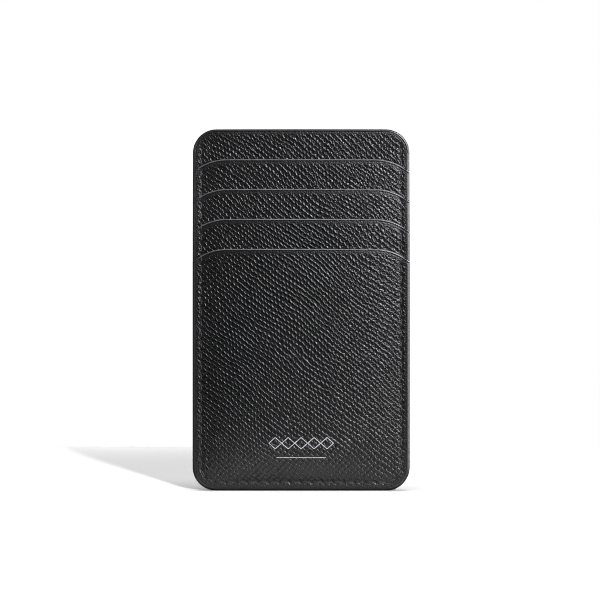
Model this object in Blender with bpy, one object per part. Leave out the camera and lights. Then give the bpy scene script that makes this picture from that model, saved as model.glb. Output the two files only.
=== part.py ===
"""Portrait leather card holder: four stepped card slots on the front and one top-opening compartment.

The holder stands upright. X is its width, +Y points out of its back, +Z is up, and the origin is the
centre of its footprint. Leather and lining are cut flat and stacked from the back (+Y) to the front (-Y),
with one card's room in front of the divider and in front of each slot wall. The stack is sewn round its
sides and bottom, and its cut edges are painted.
"""

import math

import bpy
import bmesh

MM = 0.001

# The card that every slot takes, an ID-1 card held upright
CARD_WIDTH = 54.0 * MM
CARD_HEIGHT = 85.6 * MM
CARD_ROOM = 0.84 * MM

# Outline
WIDTH = 67.2 * MM
HEIGHT = 112.0 * MM
CORNER_RADIUS = 7.3 * MM
CORNER_STEPS = 8

# Mouths: straight in the middle, falling away in an arc towards both side edges
SLOTS = 4
FRONT_MOUTH_Z = 74.8 * MM
SLOT_STEP = 9.3 * MM
MOUTH_STRAIGHT_HALF = 23.1 * MM
MOUTH_ARC_RADIUS = 16.0 * MM

# Sheet materials
OUTER_LEATHER = 0.60 * MM
DIVIDER_LEATHER = 0.50 * MM
SLOT_LEATHER = 0.40 * MM
STIFFENER = 0.20 * MM
LINING = 0.10 * MM
GLUE_LINE = 0.02 * MM
NOTE_ROOM = 0.50 * MM

# Slot walls: a leather facing on a T-shaped lining, whose stem hangs down to the pocket's bottom
FACING_HEIGHT = 18.0 * MM
WING_HEIGHT = 14.0 * MM
STEM_HALF = CARD_WIDTH / 2 + 1.7 * MM
STIFFENER_INSET = 3.6 * MM

# Edge paint, thread and foil
PAINT = 0.30 * MM
CLEARANCE = 0.02 * MM
THREAD_RADIUS = 0.17 * MM
POCKET_THREAD_RADIUS = 0.15 * MM
STITCH_PITCH = 3.32 * MM
SEAM_INSET = 2.6 * MM
SEAM_TOP_Z = HEIGHT - 5.2 * MM
GROOVE_HALF = 0.30 * MM
GROOVE_DEPTH = 0.38 * MM
FOIL = 0.05 * MM
ORNAMENT_Z = 14.8 * MM
RULE_Z = 10.3 * MM
RULE_HALF_WIDE = 8.2 * MM
RULE_HALF_HIGH = 0.35 * MM

# Derived dimensions
BODY_HALF = WIDTH / 2 - PAINT - CLEARANCE
BODY_RADIUS = CORNER_RADIUS - PAINT - CLEARANCE
BODY_BOTTOM = PAINT + CLEARANCE
BODY_TOP = HEIGHT - PAINT - CLEARANCE
CORNER_START_Z = HEIGHT - CORNER_RADIUS
POCKET_BOTTOM_Z = HEIGHT - CARD_HEIGHT
POCKET_BOTTOM_STEP = (POCKET_BOTTOM_Z - SEAM_INSET) / (SLOTS - 1)


def stack():
    """Each layer's (front y, back y), laid from the back face forwards and centred on y = 0."""
    plan = [
        ("back_panel", OUTER_LEATHER, GLUE_LINE),
        ("back_stiffener", STIFFENER, GLUE_LINE),
        ("back_lining", LINING, NOTE_ROOM),
        ("divider_lining", LINING, GLUE_LINE),
        ("divider_panel", DIVIDER_LEATHER, CARD_ROOM),
    ]
    for slot in range(1, SLOTS):
        plan.append((f"slot_{slot}_lining", LINING, GLUE_LINE))
        plan.append((f"slot_{slot}_facing", SLOT_LEATHER, CARD_ROOM))
    plan.append(("front_lining", LINING, GLUE_LINE))
    plan.append(("front_panel", OUTER_LEATHER, 0.0))
    y = sum(thick + gap for _, thick, gap in plan) / 2
    layers = {}
    for name, thick, gap in plan:
        layers[name] = (y - thick, y)
        y -= thick + gap
    return layers


def mouth_z(slot):
    """Height of a slot's mouth; slot 1 is the highest and slot 4 is the front panel's."""
    return FRONT_MOUTH_Z + (SLOTS - slot) * SLOT_STEP


# ---------------------------------------------------------------- outlines, as (x, z) points


def arc(centre_x, centre_z, radius, start, end, steps):
    """Points on a circle from start to end, in degrees from +X towards +Z."""
    points = []
    for i in range(steps + 1):
        angle = math.radians(start + (end - start) * i / steps)
        points.append((centre_x + radius * math.cos(angle), centre_z + radius * math.sin(angle)))
    return points


def mouth_line(z, half, lower=0.0):
    """The mouth from right to left at height z, moved inwards by lower."""
    radius = MOUTH_ARC_RADIUS - lower
    end = math.degrees(math.acos((half - MOUTH_STRAIGHT_HALF) / radius))
    right = arc(MOUTH_STRAIGHT_HALF, z - MOUTH_ARC_RADIUS, radius, end, 90, CORNER_STEPS)
    return right + [(-x, pz) for x, pz in reversed(right)]


def mouth_height_at(z, x):
    """Height of the mouth line at a place between its straight part and its end."""
    run = max(0.0, abs(x) - MOUTH_STRAIGHT_HALF)
    return z - MOUTH_ARC_RADIUS + math.sqrt(MOUTH_ARC_RADIUS**2 - run**2)


def bottom_corners(half, bottom, radius):
    """The bottom edge from left to right, with both of its corners."""
    left = arc(-half + radius, bottom + radius, radius, 180, 270, CORNER_STEPS)
    right = arc(half - radius, bottom + radius, radius, 270, 360, CORNER_STEPS)
    return left + right


def top_corners(half, top, radius):
    """The top edge from right to left, with both of its corners."""
    right = arc(half - radius, top - radius, radius, 0, 90, CORNER_STEPS)
    left = arc(-half + radius, top - radius, radius, 90, 180, CORNER_STEPS)
    return right + left


def full_outline(inset=0.0):
    """The back's outline, with four round corners."""
    radius = BODY_RADIUS - inset
    bottom = bottom_corners(BODY_HALF - inset, BODY_BOTTOM + inset, radius)
    return bottom + top_corners(BODY_HALF - inset, BODY_TOP - inset, radius)


def front_outline():
    """The front panel's outline: round bottom corners and a mouth on top."""
    mouth = mouth_line(mouth_z(SLOTS), BODY_HALF, PAINT + CLEARANCE)
    return bottom_corners(BODY_HALF, BODY_BOTTOM, BODY_RADIUS) + mouth


def facing_outline(slot):
    """A leather strip whose top is the slot's mouth."""
    z = mouth_z(slot)
    strip_bottom = [(-BODY_HALF, z - FACING_HEIGHT), (BODY_HALF, z - FACING_HEIGHT)]
    return strip_bottom + mouth_line(z, BODY_HALF, PAINT + CLEARANCE)


def pocket_bottom_z(slot):
    """The pockets' bottoms go down in equal steps to the seam, which is the front slot's bottom."""
    return POCKET_BOTTOM_Z - (slot - 1) * POCKET_BOTTOM_STEP


def t_outline(slot):
    """The T-shaped lining behind a facing: wings to the side seams, and a stem one card wide."""
    wing = mouth_z(slot) - WING_HEIGHT
    left = [(-BODY_HALF, wing), (-STEM_HALF, wing), (-STEM_HALF, pocket_bottom_z(slot))]
    right = [(-x, z) for x, z in reversed(left)]
    return left + right + mouth_line(mouth_z(slot), BODY_HALF, PAINT + CLEARANCE)


def seam_line(side=0.0):
    """The seam from the left side's top round the bottom to the right side's top, moved outwards by side."""
    half = WIDTH / 2 - SEAM_INSET + side
    bottom = SEAM_INSET - side
    radius = CORNER_RADIUS - SEAM_INSET + side
    return [(-half, SEAM_TOP_Z)] + bottom_corners(half, bottom, radius) + [(half, SEAM_TOP_Z)]


# ---------------------------------------------------------------- solids


def material(name, colour, roughness, metallic=0.0):
    made = bpy.data.materials.new(name)
    made.use_nodes = True
    shader = made.node_tree.nodes["Principled BSDF"]
    shader.inputs["Base Color"].default_value = (*colour, 1.0)
    shader.inputs["Roughness"].default_value = roughness
    shader.inputs["Metallic"].default_value = metallic
    return made


def collection(name):
    made = bpy.data.collections.new(name)
    bpy.context.scene.collection.children.link(made)
    return made


def plate(name, outlines, y_range, finish, home):
    """A flat sheet between two y values. Outlines are closed loops of (x, z); the first holds the others."""
    curve = bpy.data.curves.new(name, "CURVE")
    curve.dimensions = "2D"
    curve.fill_mode = "BOTH"
    curve.extrude = (y_range[1] - y_range[0]) / 2
    for outline in outlines:
        spline = curve.splines.new("POLY")
        spline.points.add(len(outline) - 1)
        for point, (x, z) in zip(spline.points, outline):
            point.co = (x, z, 0.0, 1.0)
        spline.use_cyclic_u = True
    curve.materials.append(finish)
    made = bpy.data.objects.new(name, curve)
    made.location.y = sum(y_range) / 2
    made.rotation_euler.x = math.pi / 2
    home.objects.link(made)
    return made


def thread(name, points, radius, finish, home):
    """One continuous thread through the given points."""
    curve = bpy.data.curves.new(name, "CURVE")
    curve.dimensions = "3D"
    curve.bevel_depth = radius
    curve.bevel_resolution = 1
    curve.use_fill_caps = True
    spline = curve.splines.new("POLY")
    spline.points.add(len(points) - 1)
    for point, place in zip(spline.points, points):
        point.co = (*place, 1.0)
    curve.materials.append(finish)
    made = bpy.data.objects.new(name, curve)
    home.objects.link(made)
    return made


def as_mesh(source):
    """The curve object as a welded mesh object of the same name, so that it can be cut."""
    bpy.context.view_layer.update()
    graph = bpy.context.evaluated_depsgraph_get()
    mesh = bpy.data.meshes.new_from_object(source.evaluated_get(graph))
    work = bmesh.new()
    work.from_mesh(mesh)
    bmesh.ops.remove_doubles(work, verts=work.verts, dist=1e-6)
    bmesh.ops.recalc_face_normals(work, faces=work.faces)
    work.to_mesh(mesh)
    work.free()
    name = source.name
    home = source.users_collection[0]
    place = source.matrix_world.copy()
    bpy.data.objects.remove(source)
    made = bpy.data.objects.new(name, mesh)
    made.matrix_world = place
    home.objects.link(made)
    return made


def as_cutter(obj):
    obj.hide_render = True
    obj.display_type = "WIRE"
    return obj


def cut(target, cutter):
    modifier = target.modifiers.new(f"cut_{cutter.name}", "BOOLEAN")
    modifier.operation = "DIFFERENCE"
    modifier.object = cutter


def box_cutter(name, low, high, home):
    bpy.ops.mesh.primitive_cube_add(size=1.0)
    made = bpy.context.active_object
    made.name = name
    for old in list(made.users_collection):
        old.objects.unlink(made)
    home.objects.link(made)
    made.location = [(a + b) / 2 for a, b in zip(low, high)]
    made.scale = [b - a for a, b in zip(low, high)]
    return as_cutter(made)


# ---------------------------------------------------------------- sub-parts


def add_back(layers, finishes, home):
    """Outer leather, the board that keeps it flat, and the compartment's lining."""
    outline = full_outline()
    plate("back_stiffener", [full_outline(STIFFENER_INSET)], layers["back_stiffener"], finishes["board"], home)
    plate("back_lining", [outline], layers["back_lining"], finishes["lining"], home)
    return as_mesh(plate("back_panel", [outline], layers["back_panel"], finishes["leather"], home))


def add_divider(layers, finishes, home):
    """The full-height wall that the slots are built on."""
    outline = full_outline()
    plate("divider_panel", [outline], layers["divider_panel"], finishes["leather"], home)
    plate("divider_lining", [outline], layers["divider_lining"], finishes["lining"], home)


def add_slot_wall(slot, layers, finishes, home):
    """A stepped slot: leather facing, T-shaped lining, painted mouth, and the pocket's bottom seam."""
    facing = layers[f"slot_{slot}_facing"]
    lining = layers[f"slot_{slot}_lining"]
    plate(f"slot_{slot}_facing", [facing_outline(slot)], facing, finishes["leather"], home)
    plate(f"slot_{slot}_lining", [t_outline(slot)], lining, finishes["lining"], home)
    add_mouth_paint(f"slot_{slot}_mouth_paint", slot, (facing[0], lining[1]), finishes, home)
    add_pocket_seam(slot, lining[1], layers["divider_panel"][0], finishes, home)


def add_mouth_paint(name, slot, y_range, finishes, home):
    """The painted edge along a mouth, over the leather and its lining."""
    z = mouth_z(slot)
    band = mouth_line(z, BODY_HALF) + mouth_line(z, BODY_HALF, PAINT)[::-1]
    return plate(name, [band], y_range, finishes["paint"], home)


def add_pocket_seam(slot, lining_back, divider_front, finishes, home):
    """The running stitch that holds a T lining's foot to the divider and closes the pocket."""
    reach = POCKET_THREAD_RADIUS + CLEARANCE
    near = lining_back + reach
    far = divider_front - reach
    z = pocket_bottom_z(slot) + POCKET_THREAD_RADIUS
    count = int(2 * (STEM_HALF - POCKET_THREAD_RADIUS) // STITCH_PITCH)
    left = -count * STITCH_PITCH / 2
    points = []
    for i in range(count):
        x = left + i * STITCH_PITCH
        points += [(x, near, z), (x + STITCH_PITCH / 2, near, z)]
        points += [(x + STITCH_PITCH / 2, far, z), (x + STITCH_PITCH, far, z)]
    thread(f"slot_{slot}_seam_thread", points, POCKET_THREAD_RADIUS, finishes["thread"], home)


def add_front(layers, finishes, home):
    """The large front panel, which is also the fourth slot's wall."""
    outline = front_outline()
    plate("front_lining", [outline], layers["front_lining"], finishes["lining"], home)
    panel = as_mesh(plate("front_panel", [outline], layers["front_panel"], finishes["leather"], home))
    y_range = (layers["front_panel"][0], layers["front_lining"][1])
    return [panel, as_mesh(add_mouth_paint("front_mouth_paint", SLOTS, y_range, finishes, home))]


def add_top_paint(name, y_range, finishes, home):
    """Paint over a full-height wall's free edge, from one top corner round to the other."""
    outer = top_corners(WIDTH / 2, HEIGHT, CORNER_RADIUS)
    inner = top_corners(WIDTH / 2 - PAINT, HEIGHT - PAINT, CORNER_RADIUS - PAINT)
    plate(name, [outer + inner[::-1]], y_range, finishes["paint"], home)


def add_rim_paint(layers, finishes, home, cutters):
    """Paint over the sewn sides and bottom, as deep at each height as the layers that end there."""
    top = CORNER_START_Z - CLEARANCE
    outer = [(-WIDTH / 2, top)] + bottom_corners(WIDTH / 2, 0.0, CORNER_RADIUS) + [(WIDTH / 2, top)]
    half = WIDTH / 2 - PAINT
    inner = [(-half, top)] + bottom_corners(half, PAINT, CORNER_RADIUS - PAINT) + [(half, top)]
    y_range = (layers["front_panel"][0], layers["back_panel"][1])
    rim = as_mesh(plate("rim_paint", [outer + inner[::-1]], y_range, finishes["paint"], home))
    behind = ["divider_panel"] + [f"slot_{slot}_facing" for slot in range(1, SLOTS)]
    for slot, name in enumerate(behind, start=1):
        low = (-WIDTH, -WIDTH, mouth_height_at(mouth_z(slot), BODY_HALF))
        high = (WIDTH, layers[name][0], 2 * HEIGHT)
        cut(rim, box_cutter(f"rim_step_{slot}", low, high, cutters))


def groove_cutter(name, y_range, cutters):
    """The channel that a seam's thread lies in, open at its upper ends."""
    band = seam_line(GROOVE_HALF) + seam_line(-GROOVE_HALF)[::-1]
    return as_cutter(as_mesh(plate(name, [band], y_range, None, cutters)))


def needle_thread_points(layers):
    """Along the front, the thread lies in the front panel's groove and climbs back over each mouth."""
    half = WIDTH / 2 - SEAM_INSET
    on_panel = layers["front_panel"][0] + GROOVE_DEPTH - THREAD_RADIUS - CLEARANCE
    walls = [f"slot_{slot}_facing" for slot in range(SLOTS - 1, 0, -1)] + ["divider_panel"]
    levels = [on_panel] + [layers[name][0] - THREAD_RADIUS - CLEARANCE for name in walls]
    side = []
    for slot, here, behind in zip(range(SLOTS, 0, -1), levels, levels[1:]):
        z = mouth_height_at(mouth_z(slot), half - THREAD_RADIUS) + THREAD_RADIUS + 2 * CLEARANCE
        side += [(half, here, z), (half, behind, z)]
    side.append((half, levels[-1], SEAM_TOP_Z - THREAD_RADIUS))
    left = [(-x, y, z) for x, y, z in reversed(side)]
    bottom = [(x, on_panel, z) for x, z in seam_line()[1:-1]]
    return left + bottom + side


def add_side_seam(layers, finishes, home, cutters, front_parts, back_panel):
    """The lockstitch round the sides and bottom: needle thread in front, bobbin thread behind."""
    front = layers["front_panel"][0]
    back = layers["back_panel"][1]
    beyond = 2 * GROOVE_DEPTH
    front_groove = groove_cutter("front_groove", (front - beyond, front + GROOVE_DEPTH), cutters)
    back_groove = groove_cutter("back_groove", (back - GROOVE_DEPTH, back + beyond), cutters)
    for part in front_parts:
        cut(part, front_groove)
    cut(back_panel, back_groove)
    thread("needle_thread", needle_thread_points(layers), THREAD_RADIUS, finishes["thread"], home)
    on_back = back - GROOVE_DEPTH + THREAD_RADIUS + CLEARANCE
    line = [(x, on_back, z) for x, z in seam_line()]
    ends = [(x, y, z - THREAD_RADIUS) for x, y, z in (line[0], line[-1])]
    thread("bobbin_thread", [ends[0]] + line[1:-1] + [ends[1]], THREAD_RADIUS, finishes["thread"], home)


def diamond(centre_x, centre_z, half_wide, half_high):
    return [
        (centre_x + half_wide, centre_z),
        (centre_x, centre_z + half_high),
        (centre_x - half_wide, centre_z),
        (centre_x, centre_z - half_high),
    ]


def add_foil(layers, finishes, home):
    """A plain stamped ornament: a chain of open diamonds, and a tapered rule under it."""
    count = 5
    half_wide = 2.25 * MM
    half_high = 1.80 * MM
    neck = 0.30 * MM
    stroke = 0.55 * MM
    pitch = 2 * (half_wide - neck)
    centres = [(i - (count - 1) / 2) * pitch for i in range(count)]
    neck_high = half_high * neck / half_wide
    upper = [(centres[0] - half_wide, ORNAMENT_Z)]
    for i, x in enumerate(centres):
        upper.append((x, ORNAMENT_Z + half_high))
        if i < count - 1:
            upper.append((x + pitch / 2, ORNAMENT_Z + neck_high))
    lower = [(x, 2 * ORNAMENT_Z - z) for x, z in reversed(upper[1:])]
    outline = upper + [(centres[-1] + half_wide, ORNAMENT_Z)] + lower
    inside = (half_wide - stroke, half_high * (1 - stroke / half_wide))
    holes = [diamond(x, ORNAMENT_Z, *inside) for x in centres]
    face = layers["front_panel"][0] - CLEARANCE
    y_range = (face - FOIL, face)
    plate("foil_ornament", [outline] + holes, y_range, finishes["foil"], home)
    rule = diamond(0.0, RULE_Z, RULE_HALF_WIDE, RULE_HALF_HIGH)
    plate("foil_rule", [rule], y_range, finishes["foil"], home)


def build():
    for old in list(bpy.data.objects):
        bpy.data.objects.remove(old)
    home = collection("card_holder")
    cutters = collection("cutters")
    finishes = {
        "leather": material("saffiano_leather", (0.020, 0.020, 0.022), 0.42),
        "lining": material("lining", (0.016, 0.016, 0.018), 0.85),
        "board": material("bonded_board", (0.09, 0.07, 0.05), 0.90),
        "paint": material("edge_paint", (0.030, 0.030, 0.033), 0.35),
        "thread": material("thread", (0.018, 0.017, 0.022), 0.60),
        "foil": material("foil", (0.75, 0.75, 0.77), 0.25, metallic=1.0),
    }
    layers = stack()
    back_panel = add_back(layers, finishes, home)
    add_divider(layers, finishes, home)
    for slot in range(1, SLOTS):
        add_slot_wall(slot, layers, finishes, home)
    front_parts = add_front(layers, finishes, home)
    back_wall = (layers["back_lining"][0], layers["back_panel"][1])
    add_top_paint("back_top_paint", back_wall, finishes, home)
    divider_wall = (layers["divider_panel"][0], layers["divider_lining"][1])
    add_top_paint("divider_top_paint", divider_wall, finishes, home)
    add_rim_paint(layers, finishes, home, cutters)
    add_side_seam(layers, finishes, home, cutters, front_parts, back_panel)
    add_foil(layers, finishes, home)


build()
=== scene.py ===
"""The looks of the card holder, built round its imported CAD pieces.

Every piece is first shaped flat, where the CAD stack holds it, and is then passed through bend(). That
presses the stack together along the sewn sides and bottom and leaves it open in the middle, as on the real
holder. Fields over the flat holder take x across it and z up it, as arrays.
"""

import math

import bpy
import numpy as np
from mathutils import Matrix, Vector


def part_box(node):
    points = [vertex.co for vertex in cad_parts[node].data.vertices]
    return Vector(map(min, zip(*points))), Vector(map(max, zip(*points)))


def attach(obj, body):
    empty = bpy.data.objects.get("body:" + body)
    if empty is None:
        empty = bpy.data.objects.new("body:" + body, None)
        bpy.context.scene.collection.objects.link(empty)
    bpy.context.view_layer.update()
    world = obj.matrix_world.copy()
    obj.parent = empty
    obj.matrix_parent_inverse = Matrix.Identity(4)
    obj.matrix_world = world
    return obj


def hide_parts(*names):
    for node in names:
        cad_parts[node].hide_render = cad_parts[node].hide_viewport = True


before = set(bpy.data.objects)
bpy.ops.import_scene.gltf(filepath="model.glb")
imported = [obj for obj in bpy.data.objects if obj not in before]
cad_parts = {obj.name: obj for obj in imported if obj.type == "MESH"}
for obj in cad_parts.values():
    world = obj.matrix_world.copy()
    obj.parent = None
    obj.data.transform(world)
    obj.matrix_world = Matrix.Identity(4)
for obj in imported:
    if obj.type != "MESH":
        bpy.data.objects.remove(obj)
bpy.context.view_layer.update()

MM = 0.001

# Places read from the frame
LAYERS = ["back_panel", "back_stiffener", "back_lining", "divider_lining", "divider_panel"]
LAYERS += [f"slot_{slot}_{part}" for slot in (1, 2, 3) for part in ("lining", "facing")]
LAYERS += ["front_lining", "front_panel"]
FRONT = {name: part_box(name)[0].y for name in LAYERS}
BACK = {name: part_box(name)[1].y for name in LAYERS}
WALLS = ["front_panel", "slot_3_facing", "slot_2_facing", "slot_1_facing", "divider_panel"]
PAINTS = ["front_mouth_paint"] + [f"slot_{slot}_mouth_paint" for slot in (3, 2, 1)]
MOUTH_Z = [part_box(name)[1].z for name in PAINTS]
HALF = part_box("rim_paint")[1].x
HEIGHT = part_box("divider_top_paint")[1].z
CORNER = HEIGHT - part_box("divider_top_paint")[0].z
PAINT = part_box("front_panel")[0].z
CAD_THREAD_RADIUS = 0.17 * MM
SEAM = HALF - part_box("needle_thread")[1].x + CAD_THREAD_RADIUS
SEAM_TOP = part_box("needle_thread")[1].z

# Shapes that the frame's boxes don't give, as in the CAD: the mouths' curve and the T-shaped linings
MOUTH_STRAIGHT = 23.1 * MM
MOUTH_RADIUS = 16.0 * MM
WING_HEIGHT = 14.0 * MM
STEM_HALF = 28.7 * MM
STEM_STEP = 0.4 * MM

# How the sewn holder differs from the flat stack
PRESSED_RIM = 3.0 * MM
SWELL_HEIGHT = 14.0 * MM
SWELL_ACROSS = 2.4
SWELL_UP = 2.6
BACK_ROLL = 1.2 * MM
TOP_LEAN = 1.45 * MM
LEAN_FROM = 76.0 * MM
LEAN_RISE = 34.0 * MM
GLUE = 0.02 * MM
BEYOND = 20.0 * MM
UNEVEN = 0.10 * MM
UNEVEN_CELL = 23.0 * MM
UNEVEN_SEED = 3

# The grain's sets of ridges: angle from +X towards +Z in degrees, pitch, drift in turns, seed
RIDGES = (-38.0, 1.31 * MM, 0.22, 11)
SLANTED = (46.0, 1.38 * MM, 0.20, 31)
UPRIGHT = (78.0, 1.42 * MM, 0.20, 61)
WANDER = 0.75
WANDER_CELL = 17.0 * MM
DRIFT_CELL = 4.6 * MM
WAVER = 0.16
WAVER_CELL = 1.7 * MM
RIDGE_SHIFT = 0.5

# Fields that vary the grain: mean, spread, cell, seed
BRIDGE_CHOICE = (0.5, 1.8, 5.0 * MM, 51)
BRIDGE_HEIGHT = (0.68, 0.30, 1.6 * MM, 52)
RIDGE_HEIGHT = (0.76, 0.32, 1.1 * MM, 53)
PEBBLES = (0.0, 0.12, 0.58 * MM, 54)

# Where the grain shows, and how deep
GRAIN_DEPTH = 0.14 * MM
MEAN_HEIGHT = 0.33
BORDER = 1.05 * MM
BORDER_FADE = 0.45 * MM
FOOT_LEAST = 0.55
FADE_LOW = 1.6 * MM
FADE_RISE = 3.2 * MM
SEAM_FLATTENS = 0.6
SEAM_FLAT_WIDTH = 0.6 * MM
CROSSED_LOW = 8.0 * MM
CROSSED_RISE = 11.0 * MM
CROSSED_LEAST = 0.30
CROSSED_LOSS_RIGHT = 0.6
CROSSED_RIGHT_FROM = -5.0 * MM
CROSSED_RIGHT_RUN = 22.0 * MM

# Cut edges
EDGE_ROUND = 0.20 * MM
CREASE_AT = 0.46 * MM
CREASE_WIDTH = 0.11 * MM
CREASE_DEPTH = 0.07 * MM

# Mesh spacing: insets of the rings round a sheet's grid, and the grid's steps
RING_WIDTH = 3.6 * MM
FINE_RINGS = np.concatenate([np.linspace(RING_WIDTH, 1.2 * MM, 10), np.linspace(1.0 * MM, 0, 9)])
PLAIN_RINGS = np.array([RING_WIDTH, 1.8 * MM, 0.0])
FINE_STEP = 0.245 * MM
BACK_STEP = 0.31 * MM
COARSE_STEP = 1.5 * MM
COARSENING = 4
CORNER_COLUMNS = 12
STRIP_BELOW_MOUTH = 6.0 * MM
STRIP_FADE = 1.5 * MM

# Edge paint
PAINT_PROUD = 0.025 * MM
PAINT_STEPS = 6
PATH_STEPS = 53
CORNER_PATH_STEPS = 16
MOUTH_PATH_STEPS = 14
SIDE_STEP = 0.9 * MM
WALL_END_REACH = 0.7 * MM
RIM_LAP = 0.60 * MM
RIM_DOME = 0.55 * MM
TOP_LAP = 0.24 * MM
TOP_DOME = 0.30 * MM
MOUTH_LAP = 0.05 * MM
MOUTH_DOME = 0.26 * MM
MOUTH_END_LEAST = 0.25
MOUTH_END_INSET = 1.1 * MM
MOUTH_END_RUN = 1.4 * MM

# Seam
STITCH = 3.32 * MM
STITCH_GAP = 0.12
STITCH_SLANT = 0.10 * MM
STITCH_DIVE = 0.10 * MM
STITCH_BED = 0.09 * MM
STITCH_ARCH = 0.7
STITCH_STEPS = 14
THREAD_RADIUS = 0.19 * MM
THREAD_FLAT = 0.85
THREAD_LOBES = 0.10
THREAD_SIDES = 10
THREAD_TWIST = 2.6 * math.pi
CHANNEL_DEPTH = 0.09 * MM
CHANNEL_WIDTH = 0.55 * MM
CHANNEL_END = 1.5 * MM
HOLE_DEPTH = 0.28 * MM
HOLE_LONG = 0.36 * MM
HOLE_WIDE = 0.24 * MM
HOLE_SLANT = 0.7
HOLE_SLANT_LENGTH = 1.22
HOLE_REACH = 1.4 * MM
POCKET_STITCH_STEPS = 8
POCKET_STITCH_TURN = 4
POCKET_THREAD_FLAT = 0.6
POCKET_THREAD_SIDES = 8

# Foil
ORNAMENT_Z = 14.8 * MM
ORNAMENT_LINE = 0.125 * MM
DIAMONDS = 5
DIAMOND_HALF_WIDE = 2.0 * MM
DIAMOND_HALF_HIGH = 1.75 * MM
RULE_Z = 10.3 * MM
RULE_HALF = 7.6 * MM
RULE_LINE = 0.085 * MM
STAMP_REACH = 0.16 * MM
STAMP_FADE = 0.22 * MM
STAMP_FLATTENS = 0.75
STAMP_DEPTH = 0.03 * MM
FOIL_STEP = 0.3 * MM
FOIL_ACROSS = np.array([-1, 0, 1, 1, 0, -1])
FOIL_DEPTH = np.array([-0.018, -0.022, -0.018, 0.012, 0.012, 0.012]) * MM

# Camera and set
CAMERA_DISTANCE = 1.0
CAMERA_HEIGHT = 59.0 * MM
CAMERA_X = -0.36 * MM
FIELD = 185.9 * MM
SENSOR = 36.0
FLOOR_BACK = 0.298
FLOOR_HALF = 1.6
ROOM_STRENGTH = 0.02
VIEW_GAMMA = 0.8
PIXEL_FILTER = 1.0


# ---------------------------------------------------------------- fields over the flat holder


def smooth(t):
    """From 0 to 1 with level ends."""
    t = np.clip(t, 0.0, 1.0)
    return t * t * (3 - 2 * t)


def noise(x, z, cell, seed):
    """A smooth random field from -1 to 1, with bumps about one cell wide."""
    size = 64
    table = np.random.default_rng(seed).uniform(-1, 1, (size, size))
    u, w = x / cell, z / cell
    i, j = np.floor(u).astype(int), np.floor(w).astype(int)
    fu, fw = smooth(u - i), smooth(w - j)
    near = table[i % size, j % size] * (1 - fu) + table[(i + 1) % size, j % size] * fu
    far = table[i % size, (j + 1) % size] * (1 - fu) + table[(i + 1) % size, (j + 1) % size] * fu
    return near * (1 - fw) + far * fw


def varied(x, z, mean, spread, cell, seed):
    """A random field round a mean."""
    return mean + spread * noise(x, z, cell, seed)


def openness(x, z):
    """0 where the stack is pressed together, up to 1 in the middle, where the cards go."""
    across = np.clip((HALF - np.abs(x) - PRESSED_RIM) / (HALF - PRESSED_RIM), 0, 1)
    up = np.clip((z - PRESSED_RIM) / SWELL_HEIGHT, 0, 1)
    return (1 - (1 - across) ** SWELL_ACROSS) * (1 - (1 - up) ** SWELL_UP)


def pressed_levels():
    """Each layer face's y in the flat stack and in the pressed rim, from the back to the front."""
    flat, pressed = [], []
    y = BACK[LAYERS[0]] - BACK_ROLL
    for name in LAYERS:
        thick = BACK[name] - FRONT[name]
        flat += [BACK[name], FRONT[name]]
        pressed += [y, y - thick]
        y -= thick + GLUE
    return flat, pressed


def bend(points, front="front_panel"):
    """Takes points of the flat stack to the sewn holder. front is the foremost layer where they are."""
    flat, pressed = (levels[: 2 * LAYERS.index(front) + 2] for levels in pressed_levels())
    flat = [flat[0] + BEYOND] + flat + [flat[-1] - BEYOND]
    pressed = [pressed[0] + BEYOND] + pressed + [pressed[-1] - BEYOND]
    x, y, z = np.asarray(points, float).T
    rim_y = np.interp(-y, [-level for level in flat], pressed)
    rim_y += TOP_LEAN * smooth((z - LEAN_FROM) / LEAN_RISE)
    share = openness(x, z)
    bent = share * y + (1 - share) * rim_y + UNEVEN * share * noise(x, z, UNEVEN_CELL, UNEVEN_SEED)
    return np.column_stack([x, bent, z])


def rim_distance(x, z, with_top=False):
    """Distance inwards from the outline's sides and round bottom, and from its round top if asked."""
    low = np.minimum(z, HEIGHT - z) if with_top else z
    run = np.abs(x) - (HALF - CORNER)
    rounded = CORNER - np.hypot(run, CORNER - low)
    return np.where((run > 0) & (low < CORNER), rounded, np.minimum(HALF - np.abs(x), low))


def mouth_distance(x, z, mouth_z):
    """Distance down from a mouth's edge."""
    run = np.clip(np.abs(x) - MOUTH_STRAIGHT, 0, None)
    rise = np.clip(z - (mouth_z - MOUTH_RADIUS), 0, None)
    return MOUTH_RADIUS - np.hypot(run, rise)


def ridge_phase(x, z, angle, pitch, drift, seed):
    """The phase of a set of ridges that run at an angle. They drift slowly and waver a little."""
    turn = math.radians(angle)
    across = -x * math.sin(turn) + z * math.cos(turn)
    wander = WANDER * noise(x, z, WANDER_CELL, seed) + drift * noise(x, z, DRIFT_CELL, seed + 1)
    return 2 * math.pi * (across / pitch + wander + WAVER * noise(x, z, WAVER_CELL, seed + 2))


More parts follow.
